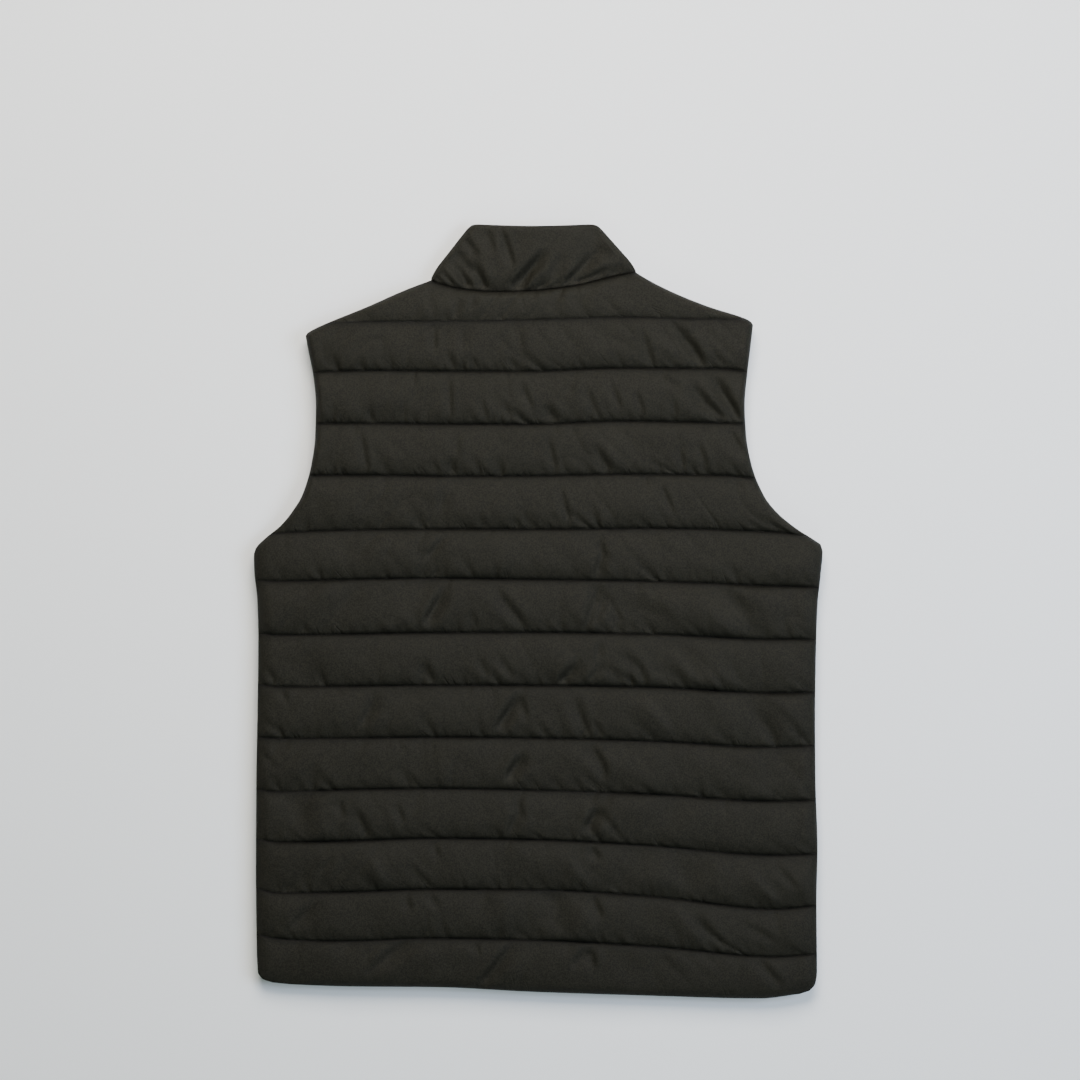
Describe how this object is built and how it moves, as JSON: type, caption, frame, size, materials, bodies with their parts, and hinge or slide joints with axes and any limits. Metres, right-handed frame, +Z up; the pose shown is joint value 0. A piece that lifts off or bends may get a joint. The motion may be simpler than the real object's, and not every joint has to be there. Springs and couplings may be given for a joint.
{
  "type": "puffer vest",
  "caption": "Sleeveless quilted jacket with a stand collar, zipped shut and laid flat on its front.",
  "frame": {"origin": "middle of the footprint, on the surface that the vest lies on", "axes": "+X across the vest towards the wearer's right side, +Y from the hem to the collar, +Z up out of the back"},
  "size_m": [0.5581, 0.7595, 0.027],
  "materials": {
    "shell": "matte woven nylon, dark olive",
    "zip_tape": "woven tape, near black",
    "zip_teeth": "moulded teeth, near black",
    "zip_metal": "dark lacquered metal"
  },
  "bodies": {
    "vest": {"back": "shell", "front_left": "shell", "front_right": "shell", "collar": "shell", "zip_tape_left": "zip_tape", "zip_tape_right": "zip_tape", "zip_chain": "zip_teeth", "zip_slider": "zip_metal"},
    "pull": {"zip_pull": "zip_metal"}
  },
  "joints": [
    {"name": "pull_hinge", "type": "hinge", "parent": "vest", "child": "pull", "pos_m": [-0.003, 0.281, 0.0016], "axis": [1, 0, 0], "range_deg": [0, 170]}
  ]
}
